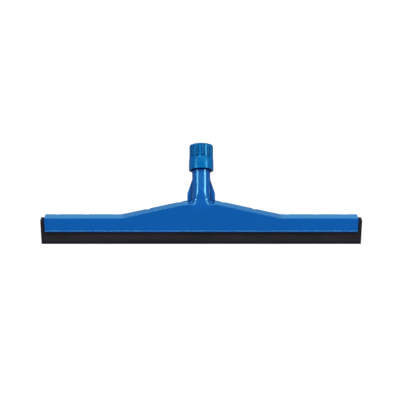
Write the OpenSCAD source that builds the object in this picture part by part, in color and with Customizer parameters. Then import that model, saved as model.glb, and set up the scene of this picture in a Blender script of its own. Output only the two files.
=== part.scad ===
// Floor squeegee head: a moulded frame with a leaning handle socket, a screwed-on rear jaw that
// grips two foam rubber strips, and a clamp nut that closes a split sleeve on the handle.
// X runs along the blade, Y from front to back and Z up. The origin is at the middle of the
// working edge. All sizes are in millimetres.

/* [Frame] */
// Length of the plastic frame
frame_w = 536; // [526:2:546]
// Depth of the frame, from its front face to its back face
frame_d = 20; // [20:0.5:22]
// Height of the frame at its ends
frame_end_h = 25; // [24.5:0.5:28]
// Height of the frame beside the neck
frame_mid_h = 51; // [48:1:54]
// Distance from the middle at which the top edge starts to rise
shoulder_x = 136; // [130:1:142]
// Thickness of the moulded walls
wall = 2.6; // [2.4:0.1:2.8]

/* [Blade] */
// Length of the foam rubber strips
blade_w = 550; // [550:2:570]
// Height of a strip
blade_h = 44.5; // [42:0.5:44.5]
// Thickness of one strip
strip_t = 6.3; // [6:0.1:6.3]
// Thickness of the core strip between the two
core_t = 2; // [1.6:0.2:2]
// Height of rubber that stands out below the frame
blade_out = 24; // [23:0.5:25]

/* [Socket] */
// Lean of the socket, back from the plane of the blade, in degrees
lean = 35; // [33:1:37]
// Outer diameter of the socket tube
tube_d = 31.2; // [31:0.1:31.4]
// Diameter of the bore that takes the handle
bore_d = 24.4; // [24:0.1:24.6]
// Length of the tube above the frame
tube_l = 76; // [76:1:80]

/* [Clamp nut] */
// Outer diameter of the nut at its grip
nut_d = 41; // [40.5:0.5:43]
// Length of the nut
nut_l = 44.5; // [43.5:0.5:45.5]
// Number of grip flutes
flutes = 12; // [8:1:14]
// Depth of a grip flute
flute_depth = 1.8; // [1.2:0.2:1.8]

/* [Hidden] */
$fn = 64;

// Depths, along Y
front = -frame_d / 2;
back = frame_d / 2;
wall_in = front + wall;
jaw_in = back - wall;

// Heights, along Z
low = blade_out;
end_top = low + frame_end_h;
mid_top = low + frame_mid_h;
roof_t = 2.8;
roof_low = end_top - roof_t;
jaw_top = roof_low - 0.4;

// The gable, the neck's two ribs and the gussets beside the tube
neck_x = 24.4;
slope = (mid_top - end_top) / (shoulder_x - neck_x);
kink_r = 14;
corner_r = 1.6;
cheek_x = neck_x - 0.6;
cheek_t = 2.6;
gusset_t = 3;
gusset_side = [[neck_x - 0.3, -3], [neck_x - 0.7, 11], [14, 40.5]];

// The socket's own frame: s = 0 lies where the tube's axis crosses the top of the frame
socket_y = front + tube_d / 2 / cos(lean) + 0.3;
floor_s = 8;
floor_t = 2.5;
drain_r = 5;
ring_s = tube_l - 28;
ring_l = 2.4;
ring_r = tube_d / 2 + 0.5;
root_r = tube_d / 2 - 0.2;
seat_s = tube_l - 13.5;
seat_r = 13.9;
slot_w = 3.4;

// The clamp thread, the nut and the sleeve, along the socket's axis
pitch = 4;
thread_seg = 32;
ridge_root_w = 2.6;
ridge_crest_w = 1;
thread_h = 1.4;
male_s = tube_l - 20.4;
male_turns = 4.5;
female_turns = 4;
nut_s = tube_l - 24;
nut_crest_r = root_r + 0.45;
nut_bore_r = root_r + thread_h + 0.5;
skirt_flare = 0.7;
flute_l = 20;
flute_r = 3.4;
sleeve_s = tube_l - 10;
flange_s = tube_l + 4.6;
flange_h = 3.9;
flange_r = 15.3;
cone_s = flange_s + flange_h;
cone_h = 8;
cone_r = 13.3;
skirt_r = seat_r - 0.2;
lug_w = 3;
clamp_r = bore_d / 2;
slit_w = 2;
slits = 6;
mouth_r = 12.9;

// Ribs, tongues, bosses and screws
rib_x = [36, 91];
tongue_x = [36, 91, 147, 197, 246];
screw_x = [52, 156, 257];
screw_z = low + 11;
notch_w = 7;
notch_d = 2.8;
rib_t = 2;
front_boss_r = 4;
rear_boss_r = 4.5;
hole_gap = 0.3;
ridge_z = [low + 4.5, low + 17.2];
ridge_h = 0.8;
shank_r = 1.9;
head_r = 3.9;
head_h = 2;
head_y = back - 2.3;
tip_y = front + 3;

function arc(c, r, a0, a1, n) = [for (i = [0:n]) c + r * [cos(a0 + (a1 - a0) * i / n),
                                                         sin(a0 + (a1 - a0) * i / n)]];

function mirrored(pts) = [for (i = [len(pts) - 1:-1:0]) [-pts[i][0], pts[i][1]]];

// Height of the frame's top edge beside the neck, at distance x from the middle
function edge_z(x) = end_top + (shoulder_x - max(x, neck_x)) * slope;

// Top edge of the frame from its right end to the neck, with a rounded corner and shoulder
function top_edge() =
    let (a = atan(slope), t = kink_r * tan(a / 2))
    concat(arc([frame_w / 2 - corner_r, end_top - corner_r], corner_r, 0, 90, 6),
           arc([shoulder_x + t, end_top + kink_r], kink_r, 270, 270 - a, 8),
           [[neck_x, mid_top]]);

// Sets a flat shape drawn in X and Z upright, from depth y0 to depth y1
module slab(y0, y1) {
    translate([0, y1, 0]) rotate([90, 0, 0]) linear_extrude(y1 - y0) children();
}

// Runs a profile drawn in Y and Z along X, over length w
module rail(w) {
    translate([-w / 2, 0, 0]) rotate([90, 0, 90]) linear_extrude(w) children();
}

module box(x, y, z) {
    translate([x[0], y[0], z[0]]) cube([x[1] - x[0], y[1] - y[0], z[1] - z[0]]);
}

module both_sides(xs) {
    for (x = xs, side = [-1, 1]) translate([side * x, 0, 0]) children();
}

module at_socket(s = 0) {
    translate([0, socket_y, mid_top]) rotate([-lean, 0, 0]) translate([0, 0, s]) children();
}

// A round bar along Y, from depth y0 to depth y1
module pin(r, y0, y1) {
    translate([0, y1, screw_z]) rotate([90, 0, 0]) cylinder(r = r, h = y1 - y0);
}

// Barbed ridges that bite into the foam, out of the wall face at depth y towards direction d
module ridges(y, d, w, more = 0) {
    h = ridge_h + more;
    for (z = ridge_z)
        rail(w) polygon([[y - 0.3 * d, z - 1 - more], [y, z - 1 - more], [y + h * d, z],
                         [y, z + 1 + more], [y - 0.3 * d, z + 1 + more]]);
}

// The lip along a lower edge, bevelled above, out of face y towards direction d
module lip(y, d, w) {
    rail(w) polygon([[y - 0.5 * d, low], [y + 0.4 * d, low], [y + 0.75 * d, low + 0.4],
                     [y + 0.75 * d, low + 1.6], [y - 0.5 * d, low + 2.85]]);
}

// A helical ridge that starts on radius r0 and stands out to radius r1
module helix(r0, r1, turns) {
    n = round(turns * thread_seg);
    out = r1 > r0;
    function lift(i) = max(0.2, min(1, i / 5, (n - i) / 5));
    function ring(i) =
        let (a = 360 * i / thread_seg, z = pitch * i / thread_seg, r = r0 + (r1 - r0) * lift(i),
             w = ridge_root_w / 2, c = w + (ridge_crest_w - ridge_root_w) / 2 * lift(i))
        [for (p = [[r0, z - w], [r0, z + w], [r, z + c], [r, z - c]])
            [p[0] * cos(a), p[0] * sin(a), p[1]]];
    pts = [for (i = [0:n], p = ring(i)) p];
    sides = [for (i = [0:n - 1], k = [0:3])
        let (a = 4 * i + k, b = 4 * i + (k + 1) % 4)
        each [[a, b, b + 4], [a, b + 4, a + 4]]];
    ends = [[2, 1, 0], [3, 2, 0], [4 * n, 4 * n + 1, 4 * n + 2], [4 * n, 4 * n + 2, 4 * n + 3]];
    all_faces = concat(sides, ends);
    polyhedron(points = pts, faces = out ? [for (f = all_faces) [f[2], f[1], f[0]]] : all_faces);
}

// Front wall, roof and sloping flange, with the channel and the back pockets cut out
module frame_shell() {
    inset = wall / cos(atan(slope));
    pocket_x = shoulder_x - (inset + 1) / slope;
    difference() {
        slab(front, back)
            polygon(concat([[-frame_w / 2, low], [frame_w / 2, low]], top_edge(),
                           mirrored(top_edge())));
        box([-frame_w, frame_w], [wall_in, back + 1], [low - 1, roof_low]);
        for (side = [-1, 1])
            slab(wall_in, back + 1)
                polygon([[side * pocket_x, end_top], [side * pocket_x, end_top + 1],
                         [side * cheek_x, edge_z(cheek_x) - inset],
                         [side * cheek_x, end_top]]);
        box([cheek_t - cheek_x, cheek_x - cheek_t], [wall_in, back + 1],
            [end_top, mid_top - wall]);
        both_sides(tongue_x)
            box([-notch_w / 2, notch_w / 2], [back - notch_d, back + 1], [roof_low - 1, mid_top]);
    }
    lip(front, -1, frame_w);
    ridges(wall_in, 1, frame_w);
    for (x = rib_x, side = [-1, 1])
        box([side * x - rib_t / 2, side * x + rib_t / 2], [wall_in - 1, back - notch_d],
            [end_top - 1, edge_z(x) - 1.3]);
    both_sides(screw_x) pin(front_boss_r, wall_in - 1, -core_t / 2);
}

// Flat gussets either side of the tube, in the plane of its axis, that narrow upwards
module gussets() {
    at_socket() rotate([90, 0, 0]) linear_extrude(gusset_t)
        polygon(concat(gusset_side, mirrored(gusset_side)));
}

module tube_body() {
    intersection() {
        union() {
            at_socket(-60) cylinder(r = tube_d / 2, h = 60 + ring_s + ring_l + 0.5);
            at_socket(ring_s) cylinder(r = ring_r, h = ring_l);
            at_socket(ring_s) cylinder(r = root_r, h = tube_l - ring_s - 0.8);
            at_socket(tube_l - 0.8) cylinder(r1 = root_r, r2 = root_r - 0.8, h = 0.8);
        }
        box([-40, 40], [front, 200], [end_top - 1, 300]);
    }
}

module front_frame() {
    color([0.07, 0.35, 0.67])
    difference() {
        union() {
            frame_shell();
            gussets();
            tube_body();
            at_socket(male_s) helix(root_r - 0.4, root_r + thread_h, male_turns);
        }
        // The bore for the handle, its floor and the hollow foot below it
        at_socket(floor_s) cylinder(r = bore_d / 2, h = tube_l);
        at_socket(0) cylinder(r = drain_r, h = 20);
        intersection() {
            at_socket(-60) cylinder(r = bore_d / 2, h = 60 + floor_s - floor_t);
            box([-40, 40], [wall_in, 200], [end_top, 300]);
        }
        translate([0, 0, roof_low - 1]) cylinder(r = 3, h = 10);
        // The seat of the sleeve and the two key slots
        at_socket(seat_s) cylinder(r = seat_r, h = tube_l);
        at_socket(seat_s) translate([-30, -slot_w / 2, 0]) cube([60, slot_w, 40]);
        // Pilot holes in the bosses
        both_sides(screw_x) pin(shank_r, front + 2.6, 5);
    }
}

module rear_jaw() {
    color([0.06, 0.31, 0.62])
    difference() {
        union() {
            box([-frame_w / 2, frame_w / 2], [jaw_in, back], [low, jaw_top]);
            lip(back, 1, frame_w);
            ridges(jaw_in, -1, frame_w);
            both_sides(tongue_x)
                box([-notch_w / 2 + 0.25, notch_w / 2 - 0.25], [back - notch_d + 0.25, back],
                    [jaw_top - 1, end_top - 0.6]);
            both_sides(screw_x) pin(rear_boss_r, core_t / 2, back - 0.5);
            for (x = tongue_x, side = [-1, 1])
                box([side * x - 1, side * x + 1], [back - 0.5, back + 0.7], [low + 1, jaw_top - 1]);
        }
        both_sides(screw_x) pin(shank_r + 0.3, 0, back + 1);
        both_sides(screw_x) pin(head_r + 0.25, head_y, back + 1);
    }
}

// A foam strip between depths y0 and y1, with a nick for the ridges of the wall at depth y
module strip(y0, y1, y, d, hole_r) {
    color([0.1, 0.1, 0.11])
    difference() {
        box([-blade_w / 2, blade_w / 2], [y0, y1], [0, blade_h]);
        ridges(y, d, blade_w + 2, 0.15);
        both_sides(screw_x) pin(hole_r, y0 - 1, y1 + 1);
    }
}

module front_blade() {
    strip(-core_t / 2 - strip_t, -core_t / 2, wall_in, 1, front_boss_r + hole_gap);
}

module rear_blade() {
    strip(core_t / 2, core_t / 2 + strip_t, jaw_in, -1, rear_boss_r + hole_gap);
}

module core_strip() {
    color([0.75, 0.76, 0.78])
    difference() {
        box([-frame_w / 2 + 1, frame_w / 2 - 1], [-core_t / 2, core_t / 2], [low + 1.5, blade_h]);
        both_sides(screw_x) pin(shank_r + 0.4, -5, 5);
    }
}

module jaw_screws() {
    color([0.7, 0.71, 0.73])
    for (x = screw_x, side = [-1, 1])
        translate([side * x, 0, screw_z]) rotate([90, 0, 0])
            difference() {
                union() {
                    translate([0, 0, -head_y]) cylinder(r = shank_r, h = head_y - tip_y - 2);
                    translate([0, 0, -tip_y - 2]) cylinder(r1 = shank_r, r2 = 0.4, h = 1.8);
                    translate([0, 0, -head_y - 0.8]) cylinder(r = head_r, h = 0.8);
                    translate([0, 0, -head_y - head_h])
                        cylinder(r1 = head_r - 1.1, r2 = head_r, h = head_h - 0.8);
                }
                translate([-2.2, -0.45, -head_y - head_h - 1]) cube([4.4, 0.9, 2.3]);
                translate([-0.45, -2.2, -head_y - head_h - 1]) cube([0.9, 4.4, 2.3]);
            }
}

module clamp_sleeve() {
    color([0.82, 0.83, 0.85])
    difference() {
        union() {
            at_socket(sleeve_s) cylinder(r = skirt_r, h = flange_s - sleeve_s + 1);
            at_socket(flange_s) cylinder(r = flange_r, h = flange_h);
            at_socket(cone_s) cylinder(r1 = flange_r, r2 = cone_r, h = cone_h);
            at_socket(sleeve_s) intersection() {
                translate([-15, -lug_w / 2, 0]) cube([30, lug_w, 11]);
                cylinder(r = 14.9, h = 11);
            }
        }
        at_socket(sleeve_s - 1) cylinder(r = clamp_r, h = 60);
        for (i = [0:slits / 2 - 1])
            at_socket(tube_l + 2) rotate([0, 0, 30 + 360 * i / slits])
                translate([-30, -slit_w / 2, 0]) cube([60, slit_w, 40]);
    }
}

// Half section of the nut, as radius and height above its lower rim
function nut_section() =
    let (bead = flange_s - nut_s - 1.3, cone = cone_s - nut_s, ro = nut_d / 2,
         end_h = cone + cone_h + 0.3)
    [[nut_bore_r + 0.4, 0], [ro + skirt_flare - 0.4, 0], [ro + skirt_flare, 0.4],
     [ro + skirt_flare, nut_l * 0.3], [ro, nut_l * 0.5], [ro, nut_l - 1.6],
     [ro - 0.25, nut_l - 0.8], [ro - 0.8, nut_l - 0.25], [ro - 1.6, nut_l],
     [mouth_r + 0.8, nut_l], [mouth_r, nut_l - 0.8], [mouth_r, end_h],
     [cone_r + 0.25, end_h], [flange_r + 0.25, cone], [flange_r + 0.25, bead + 1.1],
     [15, bead + 0.9], [15, bead], [nut_bore_r, bead - 1.5], [nut_bore_r, 0.4]];

module clamp_nut() {
    color([0.08, 0.38, 0.68])
    difference() {
        union() {
            at_socket(nut_s) rotate_extrude() polygon(nut_section());
            at_socket(male_s + pitch / 2) helix(nut_bore_r + 0.4, nut_crest_r, female_turns);
        }
        for (i = [0:flutes - 1])
            at_socket(nut_s + nut_l - flute_l) rotate([0, 0, 360 * i / flutes + 9])
                translate([nut_d / 2 + flute_r - flute_depth, 0, 0])
                    union() {
                        cylinder(r = flute_r, h = flute_l + 1);
                        sphere(r = flute_r);
                    }
    }
}

front_frame();
rear_jaw();
front_blade();
rear_blade();
core_strip();
jaw_screws();
clamp_sleeve();
clamp_nut();
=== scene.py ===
"""A floor squeegee head: blue moulded frame, double foam rubber blade and clamp nut.

Shapes are worked out in millimetres, in the CAD model's frame, and turned into metres when they
become meshes. The moulded pieces are distance fields, so every edge and corner has its fillet.
"""

import math

import bpy
import numpy as np
from mathutils import Matrix, Vector


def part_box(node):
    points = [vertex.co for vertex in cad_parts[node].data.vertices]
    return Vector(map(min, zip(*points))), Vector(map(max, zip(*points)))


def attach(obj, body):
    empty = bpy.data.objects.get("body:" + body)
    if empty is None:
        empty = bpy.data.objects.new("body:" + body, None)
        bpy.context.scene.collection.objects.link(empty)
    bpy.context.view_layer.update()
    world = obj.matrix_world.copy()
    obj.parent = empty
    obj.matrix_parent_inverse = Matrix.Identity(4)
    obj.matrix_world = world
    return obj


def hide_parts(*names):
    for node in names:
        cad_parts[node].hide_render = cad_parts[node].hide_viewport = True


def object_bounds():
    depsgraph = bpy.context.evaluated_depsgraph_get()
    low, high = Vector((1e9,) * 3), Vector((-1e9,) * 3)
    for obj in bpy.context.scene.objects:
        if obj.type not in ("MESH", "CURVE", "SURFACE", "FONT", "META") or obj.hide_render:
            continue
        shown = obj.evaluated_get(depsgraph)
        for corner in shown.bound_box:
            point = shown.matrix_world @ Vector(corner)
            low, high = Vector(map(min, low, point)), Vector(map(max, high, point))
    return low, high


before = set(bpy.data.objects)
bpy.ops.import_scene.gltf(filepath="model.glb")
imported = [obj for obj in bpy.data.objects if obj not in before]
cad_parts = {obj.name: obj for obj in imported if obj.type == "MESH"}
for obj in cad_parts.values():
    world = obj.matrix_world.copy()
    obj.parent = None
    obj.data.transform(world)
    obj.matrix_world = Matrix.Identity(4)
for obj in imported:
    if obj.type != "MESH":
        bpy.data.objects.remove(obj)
cad_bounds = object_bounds()

MM = 0.001


def extent(node, axis):
    """The lowest and highest value of a CAD node along an axis, in millimetres."""
    low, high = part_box(node)
    return low[axis] / MM, high[axis] / MM


# How far the lips stand out of the moulding's faces, and the nut's skirt beyond its grip
LIP_OUT = 0.75
SKIRT_FLARE = 0.7

# Sizes that the CAD model gives
FRAME_HALF = extent("core_strip", 0)[1] + 1
FRAME_BACK = extent("rear_jaw", 1)[1] - LIP_OUT
FRAME_FRONT = -FRAME_BACK
FRAME_LOW = extent("rear_jaw", 2)[0]
BLADE_HALF = extent("front_blade", 0)[1]
GRIP_R = extent("clamp_nut", 0)[1] - SKIRT_FLARE

# Sizes of the moulding, as in the CAD source
WALL = 2.6
END_TOP = FRAME_LOW + 25
MID_TOP = FRAME_LOW + 51
SHOULDER_X = 136
NECK_X = 24.4
CHEEK_X = NECK_X - 0.6
GUSSET_T = 3
ROOF_LOW = END_TOP - 2.8
JAW_TOP = ROOF_LOW - 0.4
LIP_TOP = FRAME_LOW + 2.35
WALL_IN = FRAME_FRONT + WALL
JAW_IN = FRAME_BACK - WALL
SLOPE = (MID_TOP - END_TOP) / (SHOULDER_X - NECK_X)
TONGUES = (36, 91, 147, 197, 246)
RIBS = (36, 91)
NOTCH_DEPTH = 2.8
SCREWS = (52, 156, 257)
SCREW_Z = FRAME_LOW + 11
SHANK_R = 1.9
HEAD_R = 3.9
HEAD_SEAT = FRAME_BACK - 2.3
FRONT_BOSS_R = 4
REAR_BOSS_R = 4.5
RIDGES_Z = (FRAME_LOW + 4.5, FRAME_LOW + 17.2)

# Thickness left in front of the hollows near the neck, where the face bends back
SKIN = 2.2

# The socket's axis: s runs along it, from the height of the frame's top, and q across it
LEAN = math.radians(35)
TUBE_R = 15.6
ROOT_R = TUBE_R - 0.2
BORE_R = 12.2
SOCKET_Y = FRAME_FRONT + TUBE_R / math.cos(LEAN) + 0.3
TUBE_L = 76
TUBE_FLOOR_S = 8
RING_S = 48
RING_L = 2.4
SEAT_S = TUBE_L - 13.5
SEAT_R = 13.9

# The thread, the nut and the sleeve, along the same axis. The nut's flutes are a little deeper
# than in the CAD model.
PITCH = 4
THREAD_S = TUBE_L - 20.4
NUT_S = TUBE_L - 24
NUT_L = 44.5
NUT_BORE_R = 17.3
FLUTES = 12
FLUTE_L = 20
FLUTE_R = 3.6
SLEEVE_S = TUBE_L - 10
FLANGE_S = TUBE_L + 4.6
FLANGE_R = 15.3
CONE_S = FLANGE_S + 3.9
CONE_L = 8
SOCKET = Matrix.Translation((0, SOCKET_Y, MID_TOP)) @ Matrix.Rotation(-LEAN, 4, "X")


# ---------------------------------------------------------------- distance fields

def clip(a, b, r):
    """What lies inside both a and b, with edges of radius r."""
    return np.minimum(-r, np.maximum(a, b)) + np.hypot(np.maximum(a + r, 0), np.maximum(b + r, 0))


def join(a, b, r):
    """What lies inside a or b, with a fillet of radius r between them."""
    return np.maximum(r, np.minimum(a, b)) - np.hypot(np.maximum(r - a, 0), np.maximum(r - b, 0))


def soft_min(a, b, k):
    """The lesser of a and b, blended where they differ by less than k."""
    h = np.maximum(k - np.abs(a - b), 0) / k
    return np.minimum(a, b) - h * h * k / 4


def soft_max(a, b, k):
    """The greater of a and b, blended where they differ by less than k."""
    return -soft_min(-a, -b, k)


def between(v, low, high):
    """What lies between two limits."""
    return np.maximum(low - v, v - high)


def ticks(*stretches):
    """Grid lines from stretches of (start, end, step), in rising order."""
    lines = [np.linspace(a, b, max(1, round((b - a) / step)) + 1)[:-1] for a, b, step in stretches]
    return np.append(np.concatenate(lines), stretches[-1][1])


def mirrored(lines):
    """Grid lines on both sides of zero, from those on one side."""
    return np.concatenate([-lines[:0:-1], lines])


def fine_near(spots, half, low, high, step, fine):
    """Grid lines from low to high that are fine within half of each spot."""
    stretches, at = [], low
    for spot in sorted(spots):
        a, b = max(spot - half, low), min(spot + half, high)
        if a > at:
            stretches.append((at, a, step))
        if b > max(a, at):
            stretches.append((max(a, at), b, fine))
            at = b
    if at < high:
        stretches.append((at, high, step))
    return ticks(*stretches)


def sample(field, xs, ys, zs, block=8):
    """Field values at the grid's points. A block that the surface can't reach gets one value."""
    shape = (len(xs), len(ys), len(zs))
    values = np.empty(shape, np.float32)
    starts = [list(range(0, n, block)) for n in shape]
    for i in starts[0]:
        x = xs[i:i + block]
        for j in starts[1]:
            y = ys[j:j + block]
            mid_x, mid_y = (x[0] + x[-1]) / 2, (y[0] + y[-1]) / 2
            bz = [zs[k:k + block] for k in starts[2]]
            mid_z = np.array([(z[0] + z[-1]) / 2 for z in bz])
            middle = field(np.full_like(mid_z, mid_x), np.full_like(mid_z, mid_y), mid_z)
            for k, z, m in zip(starts[2], bz, middle):
                reach = math.hypot(x[-1] - x[0], y[-1] - y[0], z[-1] - z[0]) / 2
                where = (slice(i, i + block), slice(j, j + block), slice(k, k + block))
                if abs(m) > 1.3 * reach + 1.5:
                    values[where] = m
                else:
                    values[where] = field(x[:, None, None], y[None, :, None], z[None, None, :])
    return values


def gradient(field, p, h=0.02):
    """The field's gradient at each point."""
    out = np.empty_like(p)
    for axis in range(3):
        step = np.zeros(3)
        step[axis] = h
        a, b = p + step, p - step
        out[:, axis] = (field(*a.T) - field(*b.T)) / (2 * h)
    return out


def net(values, xs, ys, zs):
    """Surface net of a sampled field: one vertex in each cell that the surface crosses."""
    lines = (xs, ys, zs)
    inside = values < 0
    cells = np.array(values.shape) - 1
    rings, points = [], []
    for axis in range(3):
        low, high = [slice(None)] * 3, [slice(None)] * 3
        low[axis], high[axis] = slice(0, -1), slice(1, None)
        crossing = np.argwhere(inside[tuple(low)] != inside[tuple(high)])
        ahead = crossing.copy()
        ahead[:, axis] += 1
        va, vb = values[tuple(crossing.T)], values[tuple(ahead.T)]
        point = np.stack([lines[k][crossing[:, k]] for k in range(3)], axis=1)
        point[:, axis] += va / (va - vb) * (lines[axis][ahead[:, axis]] - point[:, axis])
        u, v = (axis + 1) % 3, (axis + 2) % 3
        ring = np.repeat(crossing[:, None, :], 4, axis=1)
        ring[:, (0, 3), u] -= 1
        ring[:, (0, 1), v] -= 1
        ring[va > 0] = ring[va > 0][:, ::-1]
        rings.append((ring[..., 0] * cells[1] + ring[..., 1]) * cells[2] + ring[..., 2])
        points.append(np.repeat(point[:, None, :], 4, axis=1))
    rings, points = np.concatenate(rings), np.concatenate(points).reshape(-1, 3)
    _, number = np.unique(rings.ravel(), return_inverse=True)
    count = np.bincount(number)
    vertices = np.stack([np.bincount(number, points[:, k]) / count for k in range(3)], axis=1)
    return vertices, number.reshape(-1, 4)


def new_object(name, vertices, faces, material, body, normals=None, place=None):
    """A mesh object from points in millimetres, smooth shaded, that rides on a CAD body."""
    mesh = bpy.data.meshes.new(name)
    points = np.asarray(vertices, float)
    if place is not None:
        m = np.array(place)
        points = points @ m[:3, :3].T + m[:3, 3]
        if normals is not None:
            normals = normals @ m[:3, :3].T
    starts = np.concatenate([[0], np.cumsum([len(face) for face in faces])])
    mesh.vertices.add(len(points))
    mesh.vertices.foreach_set("co", (points * MM).ravel())
    mesh.loops.add(int(starts[-1]))
    mesh.loops.foreach_set("vertex_index", np.concatenate(faces))
    mesh.polygons.add(len(faces))
    mesh.polygons.foreach_set("loop_start", starts[:-1])
    mesh.update(calc_edges=True)
    mesh.shade_smooth()
    if normals is not None:
        mesh.normals_split_custom_set_from_vertices(normals.tolist())
    mesh.materials.append(material)
    piece = bpy.data.objects.new(name, mesh)
    bpy.context.scene.collection.objects.link(piece)
    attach(piece, body)
    return piece


def solid(field, grid, chunk=6000):
    """Points, faces and normals of a distance field's surface."""
    vertices, faces = net(sample(field, *grid), *grid)
    normals = np.empty_like(vertices)
    for start in range(0, len(vertices), chunk):
        part = vertices[start:start + chunk]
        for _ in range(3):
            g = gradient(field, part)
            size = np.maximum((g * g).sum(axis=1), 0.2)
            part -= np.clip(field(*part.T) / size, -0.3, 0.3)[:, None] * g
        normals[start:start + chunk] = gradient(field, part)
    return vertices, faces, normals / (np.linalg.norm(normals, axis=1)[:, None] + 1e-9)


def moulded(name, field, grid, material, body, place=None):
    """A piece from its distance field, with the field's own normals for its shading."""
    vertices, faces, normals = solid(field, grid)
    return new_object(name, vertices, faces, material, body, normals, place)


# ---------------------------------------------------------------- the moulded frame

def along_socket(y, z):
    """Distance s along the socket's axis and q across it, for a point."""
    dy, dz = y - SOCKET_Y, z - MID_TOP
    return dy * math.sin(LEAN) + dz * math.cos(LEAN), dy * math.cos(LEAN) - dz * math.sin(LEAN)


def ridge_rows(y, z, face, towards):
    """Rows of barbs on the wall face, as a field."""
    rows = [np.abs(z - h) + (y - face) * towards * 1.25 - 1 for h in RIDGES_Z]
    return np.maximum(np.minimum(*rows) * 0.62, (face - y) * towards - 0.5)


def flange_field(ax, y, z):
    """The long frame's outline, with no hollows and no limit at the front, and its top edge."""
    gable = (z - END_TOP - (SHOULDER_X - ax) * SLOPE) / math.hypot(1, SLOPE)
    top = soft_min(z - END_TOP, gable, 0.8)
    top = soft_max(top, z - MID_TOP, 2)
    flange = clip(top, y - FRAME_BACK, 1.3)
    flange = clip(flange, ax - FRAME_HALF, 1.4)
    return clip(flange, FRAME_LOW - z, 0.5), np.maximum(gable, z - MID_TOP)


def hollows_field(ax, y, z, top, r):
    """The channel for the blade, the back pockets and the notches that take the jaw's tongues.

    top is the field of the flange's top edge and r the distance from the socket's axis.
    """
    channel = clip(WALL_IN - y, z - ROOF_LOW, 1)
    pocket = clip(WALL_IN - y, END_TOP - z, 1)
    pocket = clip(pocket, top + WALL, 1)
    pocket = clip(pocket, 0.7 + TUBE_R - r, 1)
    ribs = [(CHEEK_X - WALL / 2, WALL / 2, FRAME_BACK + 1)]
    ribs += [(rib, 1, FRAME_BACK - NOTCH_DEPTH) for rib in RIBS]
    for rib, half, back in ribs:
        pocket = clip(pocket, -np.maximum(np.abs(ax - rib) - half, y - back), 0.7)
    hollows = np.minimum(channel, pocket)
    for tongue in TONGUES:
        notch = np.maximum(np.abs(ax - tongue) - 3.5, FRAME_BACK - NOTCH_DEPTH - y)
        hollows = np.minimum(hollows, np.maximum(notch, ROOF_LOW - 1 - z))
    return hollows


def sinks(ax, z):
    """How far the front face draws in over the ribs, the bosses and the roof behind it."""
    depth = 0.05 * np.exp(-((z - ROOF_LOW - 1.4) / 1.6) ** 2)
    above_roof = 1 / (1 + np.exp(-(z - END_TOP) * 1.2))
    for rib in RIBS + (CHEEK_X,):
        depth = depth + 0.07 * np.exp(-((ax - rib) / 1.8) ** 2) * above_roof
    for x in SCREWS:
        depth = depth + 0.06 * np.exp(-((ax - x) ** 2 + (z - SCREW_Z) ** 2) / 11)
    return depth


def lip_field(ax, z, out, edge_r):
    """The lip along a lower edge: out is how far a point lies beyond the face that it is on."""
    bevel = (z - LIP_TOP + out) * math.sqrt(0.5)
    lip = clip(clip(out - LIP_OUT, bevel, edge_r), FRAME_LOW - z, 0.4)
    return np.maximum(np.maximum(lip, -out - 0.8), ax - FRAME_HALF + 0.6)


def socket_hollows(x, y, z, s, r, outer):
    """The bore for the handle, the hollow foot below its floor, and the two drains."""
    bore = np.maximum(r - BORE_R, TUBE_FLOOR_S - s)
    foot = np.maximum(np.maximum(r - BORE_R, s - TUBE_FLOOR_S + 2.5),
                      np.maximum(WALL_IN - y, END_TOP - z))
    foot = np.maximum(foot, outer + SKIN)
    drain = np.maximum(r - 5, between(s, 0, 20))
    weep = np.maximum(np.hypot(x, y) - 3, between(z, ROOF_LOW - 1, END_TOP + 2))
    return np.minimum(np.minimum(bore, foot), np.minimum(drain, weep))


def frame_field(x, y, z):
    """The moulded frame with the lower part of its socket, up to the inside of the ring."""
    ax = np.abs(x)
    s, q = along_socket(y, z)
    r = np.hypot(x, q)
    outer, top = flange_field(ax, y, z)
    edge_r = 1.4
    # Points far from the neck can do without its terms
    near_neck = ax.min() < NECK_X + 10
    if near_neck:
        neck = np.maximum(np.maximum(r - TUBE_R, s - RING_S - 1.4), END_TOP - 1 - z)
        foot = clip(join(outer, neck, 7), ax - NECK_X + 0.3, 0.8)
        outer = np.minimum(join(outer, neck, 1), foot)
        # The front edge rounds more and more towards the tube, so that the face bends into it
        high = 1 / (1 + np.exp((MID_TOP - 20 - z) / 2))
        bend = 4 * np.exp(-(x / 21) ** 8) + 9 * np.exp(-(x / 14) ** 6)
        edge_r = edge_r + high * bend
    outer = soft_max(outer, FRAME_FRONT - y + sinks(ax, z), edge_r)
    hollows = hollows_field(ax, y, z, top, r)
    if near_neck:
        behind_face = (y < 4) & (z > END_TOP - 5)
        hollows = np.where(behind_face, np.maximum(hollows, outer + SKIN), hollows)
    body = clip(outer, -hollows, 0.4)
    body = np.minimum(body, np.maximum(ridge_rows(y, z, WALL_IN, 1), ax - FRAME_HALF))
    for screw in SCREWS:
        from_screw = np.hypot(ax - screw, z - SCREW_Z)
        boss = np.maximum(from_screw - FRONT_BOSS_R, between(y, WALL_IN - 1, -1))
        pilot = np.maximum(from_screw - SHANK_R, FRAME_FRONT + 2.6 - y)
        body = join(body, np.maximum(boss, -pilot), 0.4)
    body = join(body, lip_field(ax, z, FRAME_FRONT - y, 0.15), 0.15)
    if near_neck:
        body = clip(body, -socket_hollows(x, y, z, s, r, outer), 0.35)
    return body


def stack(start, *steps):
    """Grid lines upwards from start: each stretch has its upper end and its step.

    Heights count from the frame's lower edge.
    """
    stretches = []
    for end, step in steps:
        stretches.append((FRAME_LOW + start, FRAME_LOW + end, step))
        start = end
    return ticks(*stretches)


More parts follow.
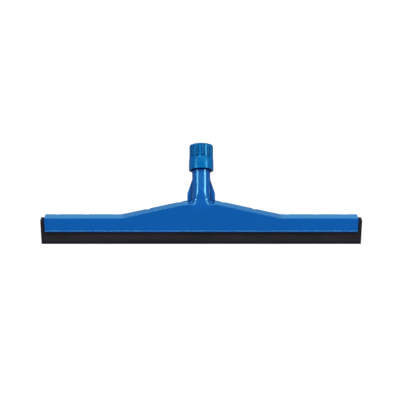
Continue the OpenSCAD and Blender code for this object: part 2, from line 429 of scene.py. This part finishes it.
def frame_grid():
    """Grid lines of the frame, close together at its edges, lips, ridges and screws."""
    features = sorted(TONGUES + SCREWS)
    near, far = [f for f in features if f < 138], [f for f in features if f > 138]
    xs = np.concatenate([ticks((0, 27, 1.08))[:-1],
                         fine_near(near, 4.2, 27, 138, 2.6, 0.8)[:-1],
                         fine_near(far, 4.2, 138, 266, 4.5, 0.8)[:-1],
                         ticks((266, FRAME_HALF + 1, 0.5))])
    ys = ticks((-11.4, -6.4, 0.48), (-6.4, 6.4, 1.3), (6.4, 11, 0.48), (11, 53, 1.1))
    top = MID_TOP - FRAME_LOW
    zs = stack(-0.8, (1.3, 0.42), (2.7, 0.2), (3.5, 0.4), (5.5, 0.5), (15.8, 1.3), (18.6, 0.5),
               (20.8, 0.8), (26, 0.48), (top + 1, 0.95), (top + 52, 1.1))
    return mirrored(xs), ys, zs


def gussets_field(x, y, z):
    """The two gussets beside the tube, in the socket's own axes."""
    ax = np.abs(x)
    taper = 0.33
    slant = (ax - CHEEK_X + 0.1 + (z - 11) * taper) / math.hypot(1, taper)
    plate = clip(soft_max(ax - CHEEK_X, slant, 0.8), between(y, -GUSSET_T, 0), 0.5)
    plate = np.maximum(plate, between(z, -3, 45))
    return np.maximum(plate, TUBE_R - 1 - np.hypot(x, y))


def socket_end_field(x, y, z):
    """The ring and the threaded end of the socket, in the socket's own axes."""
    r = np.hypot(x, y)
    ring = clip(r - TUBE_R - 0.5, between(z, RING_S, RING_S + RING_L), 0.4)
    body = join(ring, clip(r - ROOT_R, between(z, RING_S, TUBE_L), 0.6), 0.3)
    body = join(body, thread_ridge(x, y, z, THREAD_S, 4.5, r - ROOT_R, 1.4), 0.3)
    seat_and_slots = np.maximum(np.minimum(r - SEAT_R, np.abs(y) - 1.7), SEAT_S - z)
    return clip(body, -np.minimum(r - BORE_R, seat_and_slots), 0.3)


def thread_ridge(x, y, z, start, turns, out, height):
    """A right-hand helical ridge: out is how far a point lies beyond the ridge's root radius."""
    rise = start + PITCH * (np.arctan2(y, x) % math.tau) / math.tau
    aside = np.abs((z - rise + PITCH / 2) % PITCH - PITCH / 2)
    flank = np.maximum((aside - 1.3 + out * 0.57) * 0.87, -out - 0.6)
    ends = between(z, start, start + turns * PITCH) * 0.7
    return clip(clip(flank, out - height, 0.3), ends, 0.4)


# ---------------------------------------------------------------- the other moulded pieces

def jaw_field(x, y, z):
    """The rear jaw: a bar with tongues and outer ribs, bosses towards the blade and a lip."""
    ax = np.abs(x)
    body = clip(between(y, JAW_IN, FRAME_BACK), between(z, FRAME_LOW, JAW_TOP), 0.6)
    body = clip(body, ax - FRAME_HALF, 1)
    for at in TONGUES:
        depth = between(y, FRAME_BACK - NOTCH_DEPTH + 0.25, FRAME_BACK)
        tongue = clip(np.abs(ax - at) - 3.25, z - END_TOP + 0.6, 0.8)
        tongue = clip(tongue, np.maximum(depth, JAW_TOP - 2 - z), 0.5)
        rib = clip(np.abs(ax - at) - 1, between(y, FRAME_BACK - 0.5, FRAME_BACK + 0.7), 0.45)
        rib = clip(rib, between(z, FRAME_LOW + 1, JAW_TOP - 1), 0.6)
        body = join(join(body, tongue, 0.5), rib, 0.5)
    body = join(body, lip_field(ax, z, y - FRAME_BACK, 0.25), 0.15)
    body = np.minimum(body, np.maximum(ridge_rows(y, z, JAW_IN, -1), ax - FRAME_HALF))
    for screw in SCREWS:
        r = np.hypot(ax - screw, z - SCREW_Z)
        body = join(body, clip(r - REAR_BOSS_R, between(y, 1, FRAME_BACK - 0.5), 0.4), 0.5)
        body = clip(body, SHANK_R + 0.3 - r, 0.3)
        body = clip(body, -np.maximum(r - HEAD_R - 0.25, HEAD_SEAT - y), 0.3)
    return body


def jaw_grid():
    """Grid lines of the jaw, close together at its tongues, lip, edges and screws."""
    xs = np.concatenate([fine_near(sorted(TONGUES + SCREWS), 5.2, 0, 266, 4, 0.55)[:-1],
                         ticks((266, FRAME_HALF + 1, 0.45))])
    ys = ticks((0.4, 6.4, 0.8), (6.4, 11.4, 0.36))
    return mirrored(xs), ys, stack(-0.8, (6, 0.36), (15.8, 0.55), (18.8, 0.42), (24.6, 0.38))


def nut_field(x, y, z):
    """The clamp nut, in the socket's own axes."""
    r, h = np.hypot(x, y), z - NUT_S
    skirt = [(0.28, SKIRT_FLARE), (0.36, 0.6), (0.5, 0.06), (0.56, 0)]
    flare = np.interp(h / NUT_L, *zip(*skirt))
    body = clip(r - GRIP_R - flare, h - NUT_L, 1.8)
    body = clip(body, -h, 0.45)
    step = math.tau / FLUTES
    turn = (np.arctan2(y, x) - math.radians(9) + step / 2) % step - step / 2
    outwards, sideways = r * np.cos(turn) - GRIP_R - 1.2, r * np.sin(turn)
    below = np.minimum(h - (NUT_L - FLUTE_L), 0)
    flute = np.sqrt(outwards ** 2 + sideways ** 2 + below ** 2) - FLUTE_R
    body = clip(body, -flute, 0.3)
    bead, cone, mouth = FLANGE_S - NUT_S - 1.3, CONE_S - NUT_S, 12.9
    inside = [(0, NUT_BORE_R + 0.5), (0.5, NUT_BORE_R), (bead - 1.5, NUT_BORE_R), (bead, 15),
              (bead + 0.9, 15), (bead + 1.3, FLANGE_R + 0.25), (cone, FLANGE_R + 0.25),
              (cone + CONE_L + 0.3, 13.5), (cone + CONE_L + 0.6, mouth), (NUT_L - 0.8, mouth),
              (NUT_L, mouth + 0.7)]
    body = clip(body, np.interp(h, *zip(*inside)) - r, 0.3)
    ridge = thread_ridge(x, y, z, THREAD_S + PITCH / 2, 4, NUT_BORE_R - r, 1.45)
    return join(body, ridge, 0.3)


def sleeve_field(x, y, z):
    """The split sleeve inside the nut, in the socket's own axes."""
    r = np.hypot(x, y)
    skirt = clip(r - SEAT_R + 0.2, between(z, SLEEVE_S, FLANGE_S + 1), 0.35)
    flange = clip(r - FLANGE_R, between(z, FLANGE_S, CONE_S + 0.3), 0.3)
    cone = clip((r - FLANGE_R + (z - CONE_S) * 0.25) * 0.97,
                between(z, CONE_S - 1, CONE_S + CONE_L), 0.5)
    lugs = clip(np.abs(y) - 1.5, r - 14.9, 0.3)
    lugs = clip(lugs, between(z, SLEEVE_S, TUBE_L + 1), 0.3)
    body = join(join(skirt, np.minimum(flange, cone), 0.4), lugs, 0.3)
    body = clip(body, BORE_R - r, 0.4)
    for turn in (30, 90, 150):
        a = math.radians(turn)
        slit = np.maximum(np.abs(y * math.cos(a) - x * math.sin(a)) - 1, TUBE_L + 2 - z)
        body = clip(body, -slit, 0.25)
    return body


def screw_field(x, y, z):
    """One screw, with its head towards +Y and its axis through the origin."""
    r, ax, az = np.hypot(x, z), np.abs(x), np.abs(z)
    head = clip(r - HEAD_R, between(y, HEAD_SEAT, HEAD_SEAT + 2), 0.8)
    deep = (HEAD_SEAT + 0.8 - y) + 0.55 * r
    cross = np.minimum(np.maximum(ax - 0.45, az - 2.2), np.maximum(az - 0.45, ax - 2.2))
    head = clip(head, -np.maximum(cross, deep * 0.87), 0.15)
    shank = clip(r - SHANK_R, between(y, FRAME_FRONT + 5, HEAD_SEAT + 0.5), 0.3)
    return join(head, shank, 0.3)


def jaw_screws(material):
    """The six screws, as copies of one."""
    across = ticks((-4.4, 4.4, 0.22))
    along = ticks((-5.6, 7, 0.8), (7, 10.2, 0.2))
    vertices, faces, normals = solid(screw_field, (across, along, across))
    places = [np.array([side * x, 0, SCREW_Z]) for x in SCREWS for side in (-1, 1)]
    points = np.concatenate([vertices + place for place in places])
    rings = np.concatenate([faces + k * len(vertices) for k in range(len(places))])
    return new_object("screws", points, rings, material, "head",
                      np.tile(normals, (len(places), 1)))


# ---------------------------------------------------------------- strips

def strip(name, half, y_range, z_range, round_low, round_high, material, wave=0.0, step=2.5):
    """A long strip with rounded edges, whose faces waver by a little, as cut foam does."""
    (y0, y1), (z0, z1) = y_range, z_range
    corners = ((y1 - round_high, z1 - round_high, round_high, 0),
               (y0 + round_high, z1 - round_high, round_high, 90),
               (y0 + round_low, z0 + round_low, round_low, 180),
               (y1 - round_low, z0 + round_low, round_low, 270))
    profile = []
    for cy, cz, r, start in corners:
        for turn in (0, 22.5, 45, 67.5, 90):
            a = math.radians(start + turn)
            profile.append((cy + r * math.cos(a), cz + r * math.sin(a)))
    outline = []
    for (ya, za), (yb, zb) in zip(profile, profile[1:] + profile[:1]):
        pieces = max(1, round(math.hypot(yb - ya, zb - za) / step))
        outline += [(ya + (yb - ya) * k / pieces, za + (zb - za) * k / pieces)
                    for k in range(pieces)]
    outline = np.array(outline)
    # The ends are rounded: the outline shrinks by an inset over the last end_r
    end_r = 0.8
    turns = [math.radians(a) for a in range(15, 91, 15)]
    ends = [half - end_r + end_r * math.sin(a) for a in turns]
    inset = [end_r - end_r * math.cos(a) for a in turns]
    inner = np.linspace(-half + end_r, half - end_r, round(2 * half / step) + 1)
    xs = [-x for x in reversed(ends)] + list(inner) + ends
    insets = inset[::-1] + [0.0] * len(inner) + inset
    middle = np.array([(y0 + y1) / 2, (z0 + z1) / 2])
    size = np.array([(y1 - y0) / 2, (z1 - z0) / 2])
    vertices = []
    for x, i in zip(xs, insets):
        y, z = (middle + (outline - middle) * (1 - i / size)).T
        waver = wave * (1 + np.sin(x / 17 + z / 9) * np.sin(x / 41 + 1.7))
        vertices += [(x, a, b) for a, b in zip(y - waver * np.sign(y - middle[0]), z)]
    n = len(outline)
    faces = []
    for i in range(len(xs) - 1):
        for k in range(n):
            a, b = i * n + k, i * n + (k + 1) % n
            faces.append((a, a + n, b + n, b))
    faces.append(tuple(range(n)))
    faces.append(tuple(reversed(range((len(xs) - 1) * n, len(xs) * n))))
    return new_object(name, vertices, faces, material, "head")


# ---------------------------------------------------------------- materials

# Places of a colour Mix node's sockets, which share their names with its other types' sockets
COLOUR_A, COLOUR_B, COLOUR_OUT = 6, 7, 2


class Nodes:
    """A new material's node tree, with short ways to add to it."""

    def __init__(self, name):
        self.material = bpy.data.materials.new(name)
        self.material.use_nodes = True
        self.tree = self.material.node_tree
        self.shader = self.tree.nodes["Principled BSDF"]
        self.place = self.add("ShaderNodeTexCoord").outputs["Object"]

    def add(self, kind, **values):
        """A new node, with values for its sockets or its settings."""
        node = self.tree.nodes.new(kind)
        for key, value in values.items():
            if key in node.inputs:
                node.inputs[key].default_value = value
            else:
                setattr(node, key, value)
        return node

    def link(self, a, b):
        """Runs output a to input b."""
        self.tree.links.new(a, b)

    def set(self, **values):
        """Sets the shader's own sockets, with _ for each space in a name."""
        for key, value in values.items():
            self.shader.inputs[key.replace("_", " ")].default_value = value

    def stretched(self, scale):
        """Object coordinates scaled by axis, in units of one metre."""
        mapping = self.add("ShaderNodeMapping")
        mapping.inputs["Scale"].default_value = scale
        self.link(self.place, mapping.inputs["Vector"])
        return mapping.outputs["Vector"]

    def noise(self, scale, detail=3.0, rough=0.5, where=None):
        """Noise of a scale in object coordinates, or in those that where gives."""
        node = self.add("ShaderNodeTexNoise", Scale=scale, Detail=detail, Roughness=rough)
        self.link(where or self.place, node.inputs["Vector"])
        return node.outputs["Fac"]

    def ramp(self, value, low, high, a, b):
        """Maps low..high of a value to a..b."""
        node = self.add("ShaderNodeMapRange")
        self.link(value, node.inputs["Value"])
        for key, v in (("From Min", low), ("From Max", high), ("To Min", a), ("To Max", b)):
            node.inputs[key].default_value = v
        return node.outputs["Result"]

    def math(self, operation, a, b):
        """The result of an operation on two sockets or numbers."""
        node = self.add("ShaderNodeMath", operation=operation)
        for socket, v in zip(node.inputs, (a, b)):
            if isinstance(v, (int, float)):
                socket.default_value = v
            else:
                self.link(v, socket)
        return node.outputs["Value"]

    def mix(self, factor, a, b):
        """Colour a where factor is 0 and b where it is 1. Each is a socket or a colour."""
        node = self.add("ShaderNodeMix", data_type="RGBA")
        self.link(factor, node.inputs["Factor"])
        for socket, v in zip((node.inputs[COLOUR_A], node.inputs[COLOUR_B]), (a, b)):
            if isinstance(v, tuple):
                socket.default_value = v + (1,)
            else:
                self.link(v, socket)
        return node.outputs[COLOUR_OUT]

    def paint_corner_shade(self, colour, reach, shade):
        """The colour, darkened towards the shade colour in corners and hollows within reach:
        painted shade.
        """
        node = self.add("ShaderNodeAmbientOcclusion", samples=8, only_local=False, Distance=reach)
        open_air = self.ramp(node.outputs["AO"], 0.65, 0.99, 0.0, 1.0)
        product = self.add("ShaderNodeMix", data_type="RGBA", blend_type="MULTIPLY", Factor=1.0)
        self.link(colour, product.inputs[COLOUR_A])
        self.link(self.mix(open_air, shade, (1.0, 1.0, 1.0)), product.inputs[COLOUR_B])
        return product.outputs[COLOUR_OUT]

    def bump(self, height, distance, strength, normal=None):
        """A normal with a height field's relief, on top of another bump's normal if given."""
        node = self.add("ShaderNodeBump", Distance=distance, Strength=strength)
        self.link(height, node.inputs["Height"])
        if normal:
            self.link(normal, node.inputs["Normal"])
        return node.outputs["Normal"]


def srgb(r, g, b):
    """Linear colour of an 8-bit display colour."""
    return tuple(c / 12.92 if c <= 0.04045 else ((c + 0.055) / 1.055) ** 2.4
                 for c in (v / 255 for v in (r, g, b)))


def moulded_plastic(name, colour, light, dark, corner_shade=(0.3, 0.08, 0.32), gloss=(0.2, 0.24),
                    level=0.9, tint=(0.3, 0.92, 1)):
    """Injection moulded polypropylene: faint flow marks, orange peel, hairline scuffs, and a
    painted shade in its corners and hollows.
    """
    m = Nodes(name)
    flow = m.noise(1.0, 4.0, 0.6, m.stretched((9, 60, 60)))
    cloud = m.noise(34.0, 2.0, 0.5)
    tone = m.mix(m.ramp(flow, 0.35, 0.65, 0.0, 1.0), dark, colour)
    tone = m.mix(m.ramp(cloud, 0.45, 0.8, 0.0, 0.5), tone, light)
    # Painted shade: corners and hollows, such as beside the gussets and in the nut's flutes, are
    # darkened towards a blue tint
    m.link(m.paint_corner_shade(tone, 0.009, corner_shade), m.shader.inputs["Base Color"])
    scuffs = m.noise(1.0, 2.0, 0.55, m.stretched((60, 900, 1400)))
    hairlines = m.ramp(scuffs, 0.62, 0.74, 0.0, 1.0)
    grain = m.noise(2600.0, 2.0, 0.5)
    rough = m.ramp(m.math("ADD", m.math("MULTIPLY", grain, 0.5), m.math("MULTIPLY", cloud, 0.5)),
                   0.35, 0.65, *gloss)
    rough = m.math("ADD", rough, m.math("MULTIPLY", hairlines, 0.05))
    m.link(rough, m.shader.inputs["Roughness"])
    peel = m.bump(m.noise(420.0, 2.0, 0.5), 0.00001, 0.5)
    fine = m.bump(grain, 0.000004, 0.5, peel)
    m.link(m.bump(hairlines, 0.000004, 0.3, fine), m.shader.inputs["Normal"])
    m.set(IOR=1.49, Specular_IOR_Level=level, Specular_Tint=tint + (1,))
    return m.material


def foam_rubber():
    """Black cellular rubber: open pores of several sizes on a cut surface, and a dusty bloom;
    painted shade in the pores, under the lip and by the floor.
    """
    m = Nodes("foam_rubber")
    cells = m.add("ShaderNodeTexVoronoi", Scale=1300.0, feature="F1")
    m.link(m.place, cells.inputs["Vector"])
    big = m.add("ShaderNodeTexVoronoi", Scale=520.0, feature="F1")
    m.link(m.place, big.inputs["Vector"])
    pits = m.ramp(cells.outputs["Distance"], 0.08, 0.42, 0.0, 1.0)
    holes = m.ramp(big.outputs["Distance"], 0.05, 0.22, 0.0, 1.0)
    skin = m.math("MULTIPLY", pits, holes)
    bloom = m.noise(1.0, 4.0, 0.6, m.stretched((14, 40, 70)))
    base = m.mix(m.ramp(bloom, 0.35, 0.7, 0.0, 1.0), srgb(30, 28, 32), srgb(43, 40, 45))
    # The pores are painted almost black: painted shade inside them
    tone = m.mix(skin, srgb(8, 8, 10), base)
    # Painted shade and painted shadow: the foam darkens within reach of other surfaces, under the
    # frame's lip and along its foot by the floor
    m.link(m.paint_corner_shade(tone, 0.009, (0.08, 0.14, 0.35)), m.shader.inputs["Base Color"])
    m.link(m.ramp(bloom, 0.3, 0.7, 0.72, 0.9), m.shader.inputs["Roughness"])
    rough_skin = m.bump(m.noise(3000.0, 3.0, 0.6), 0.00003, 0.7)
    m.link(m.bump(skin, 0.00012, 0.8, rough_skin), m.shader.inputs["Normal"])
    m.set(IOR=1.45, Specular_IOR_Level=0.3)
    return m.material


def natural_nylon():
    """Undyed nylon: a milky white with faint clouds, light passing a little way in."""
    m = Nodes("natural_nylon")
    cloud = m.noise(120.0, 3.0, 0.55)
    m.link(m.mix(cloud, srgb(205, 206, 203), srgb(228, 228, 222)), m.shader.inputs["Base Color"])
    m.link(m.ramp(cloud, 0.3, 0.7, 0.32, 0.48), m.shader.inputs["Roughness"])
    m.link(m.bump(m.noise(1500.0, 2.0), 0.00002, 0.5), m.shader.inputs["Normal"])
    m.set(IOR=1.53, Subsurface_Weight=0.25, Subsurface_Scale=0.004)
    return m.material


def core_plastic():
    """Grey extruded plastic with drawn lines along its length."""
    m = Nodes("core_plastic")
    drawn = m.noise(1.0, 3.0, 0.6, m.stretched((6, 800, 800)))
    m.link(m.mix(drawn, srgb(170, 172, 176), srgb(196, 197, 200)), m.shader.inputs["Base Color"])
    m.link(m.ramp(drawn, 0.3, 0.7, 0.45, 0.62), m.shader.inputs["Roughness"])
    m.link(m.bump(drawn, 0.00003, 0.5), m.shader.inputs["Normal"])
    return m.material


def screw_steel():
    """Bright steel with fine turned rings."""
    m = Nodes("screw_steel")
    lathe = m.noise(1.0, 2.0, 0.5, m.stretched((2500, 300, 2500)))
    m.link(m.mix(lathe, srgb(176, 177, 180), srgb(206, 206, 205)), m.shader.inputs["Base Color"])
    m.link(m.ramp(lathe, 0.3, 0.7, 0.24, 0.4), m.shader.inputs["Roughness"])
    m.link(m.bump(lathe, 0.00001, 0.4), m.shader.inputs["Normal"])
    m.set(Metallic=1.0)
    return m.material


# ---------------------------------------------------------------- camera, lights and floor

# Distances in metres, and how far the camera aims beside the object's middle
LAMP_DISTANCE = 2.2
CAMERA_DISTANCE = 1.84
AIM_SHIFT = Vector((-0.0021, 0, -0.0004))


def point_at(thing, spot):
    """Turns a camera or a lamp towards a spot."""
    thing.rotation_euler = (spot - thing.location).to_track_quat("-Z", "Y").to_euler()


def around(spot, distance, azimuth, elevation):
    """A place seen from a spot at an azimuth from the front, to the right, and an elevation."""
    a, e = math.radians(azimuth), math.radians(elevation)
    towards = (math.sin(a) * math.cos(e), -math.cos(a) * math.cos(e), math.sin(e))
    return spot + distance * Vector(towards)


def lamp(name, spot, azimuth, elevation, width, height, watts, colour=(1, 1, 1)):
    """A rectangular lamp that shines on a spot, from LAMP_DISTANCE away."""
    data = bpy.data.lights.new(name, "AREA")
    data.shape, data.size, data.size_y, data.energy = "RECTANGLE", width, height, watts
    data.color = colour
    light = bpy.data.objects.new(name, data)
    light.location = around(spot, LAMP_DISTANCE, azimuth, elevation)
    point_at(light, spot)
    bpy.context.scene.collection.objects.link(light)
    return light


def studio():
    """The camera in front of the object and above it, the soft lamps and the world's light."""
    scene = bpy.context.scene
    scene.view_settings.view_transform = "Standard"
    centre = Vector((0, 0, cad_bounds[1][2] * 0.48))
    camera = bpy.data.objects.new("camera", bpy.data.cameras.new("camera"))
    camera.data.lens = 97.4
    aim = centre + AIM_SHIFT
    camera.location = around(aim, CAMERA_DISTANCE, 0, 22)
    point_at(camera, aim)
    scene.collection.objects.link(camera)
    scene.camera = camera
    # Two soft boxes draw the streaks on the socket. The lamp above adds only reflections, which
    # light up the lip and the top edges.
    lamp("left_softbox", centre, -63, 34, 0.45, 0.6, 12)
    lamp("right_softbox", centre, 63, 34, 0.45, 0.6, 18)
    top_light = lamp("top_light", centre, 0, 67, 2.6, 0.5, 26)
    top_light.visible_diffuse = False
    # The wide bluish lamp behind shows in the faces that look up
    lamp("back_light", centre, 180, 34, 2.8, 1.1, 19, (0.19, 0.74, 1))
    # Low fill lamps, in front and behind, that don't show in the gloss
    for azimuth in (-30, 30, -150, 150):
        fill = lamp("fill", centre, azimuth, 6, 0.8, 0.8, 17)
        fill.visible_glossy = False
    world = bpy.data.worlds.new("world")
    world.use_nodes = True
    background = world.node_tree.nodes["Background"]
    background.inputs["Color"].default_value = (0.95, 0.97, 1, 1)
    background.inputs["Strength"].default_value = 0.25
    scene.world = world


def floor():
    """A pale seamless floor, lit from within so that its shadows stay faint."""
    bpy.ops.mesh.primitive_plane_add(size=14, location=(0, 0, -0.0004))
    sheet = bpy.context.object
    sheet.name = "floor"
    m = Nodes("pale_floor")
    m.set(Base_Color=(0.2, 0.2, 0.2, 1), Roughness=1.0)
    m.shader.inputs["Emission Color"].default_value = (1, 1, 1, 1)
    m.shader.inputs["Emission Strength"].default_value = 0.9
    sheet.data.materials.append(m.material)
    sheet.visible_glossy = sheet.visible_diffuse = False


# ---------------------------------------------------------------- the object

# The frame, the socket's end and the gussets are one moulding, but three meshes, because each
# needs a grid that is close enough for its details.
studio()
floor()

frame_blue = moulded_plastic("frame_plastic", srgb(2, 87, 173), srgb(4, 90, 177), srgb(1, 85, 169))
jaw_blue = moulded_plastic("jaw_plastic", srgb(3, 76, 160), srgb(5, 80, 165), srgb(2, 73, 155))
# The nut gets a deeper painted shade in its flutes than the frame gets in its corners
nut_blue = moulded_plastic("nut_plastic", srgb(1, 101, 171), srgb(2, 104, 175), srgb(1, 97, 166),
                           corner_shade=(0.2, 0.0, 0.25), gloss=(0.22, 0.27), level=0.34,
                           tint=(0.15, 0.8, 1))
foam = foam_rubber()

body = moulded("frame", frame_field, frame_grid(), frame_blue, "head")
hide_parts("front_frame")

round_grid = ticks((-TUBE_R - 2, TUBE_R + 2, 0.5))
end_grid = (round_grid, round_grid, ticks((RING_S - 0.6, TUBE_L + 0.6, 0.42)))
threaded = moulded("socket_end", socket_end_field, end_grid, frame_blue, "head", SOCKET)
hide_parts("front_frame")

wing = ticks((13, 25, 0.5))
wings = (np.concatenate([-wing[::-1], wing]), ticks((-3.8, 0.8, 0.4)), ticks((-3.8, 40, 0.6)))
gussets = moulded("gussets", gussets_field, wings, frame_blue, "head", SOCKET)
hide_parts("front_frame")

jaw = moulded("jaw", jaw_field, jaw_grid(), jaw_blue, "head")
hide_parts("rear_jaw")

wide = ticks((-22, 22, 0.5))
nut_grid = (wide, wide, ticks((NUT_S - 0.8, NUT_S + NUT_L + 0.8, 0.5)))
nut = moulded("nut", nut_field, nut_grid, nut_blue, "nut", SOCKET)
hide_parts("clamp_nut")

sleeve_grid = (round_grid, round_grid, ticks((SLEEVE_S - 0.6, CONE_S + CONE_L + 0.6, 0.42)))
sleeve = moulded("sleeve", sleeve_field, sleeve_grid, natural_nylon(), "sleeve", SOCKET)
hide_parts("clamp_sleeve")

screws = jaw_screws(screw_steel())
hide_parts("jaw_screws")

for side in ("front", "rear"):
    y_range, z_range = extent(side + "_blade", 1), extent(side + "_blade", 2)
    blade = strip(side + "_foam", BLADE_HALF, y_range, z_range, 0.5, 1.0, foam, wave=0.04)
    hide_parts(side + "_blade")

core = strip("core", FRAME_HALF - 1, extent("core_strip", 1), extent("core_strip", 2), 0.3, 0.3,
             core_plastic())
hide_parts("core_strip")
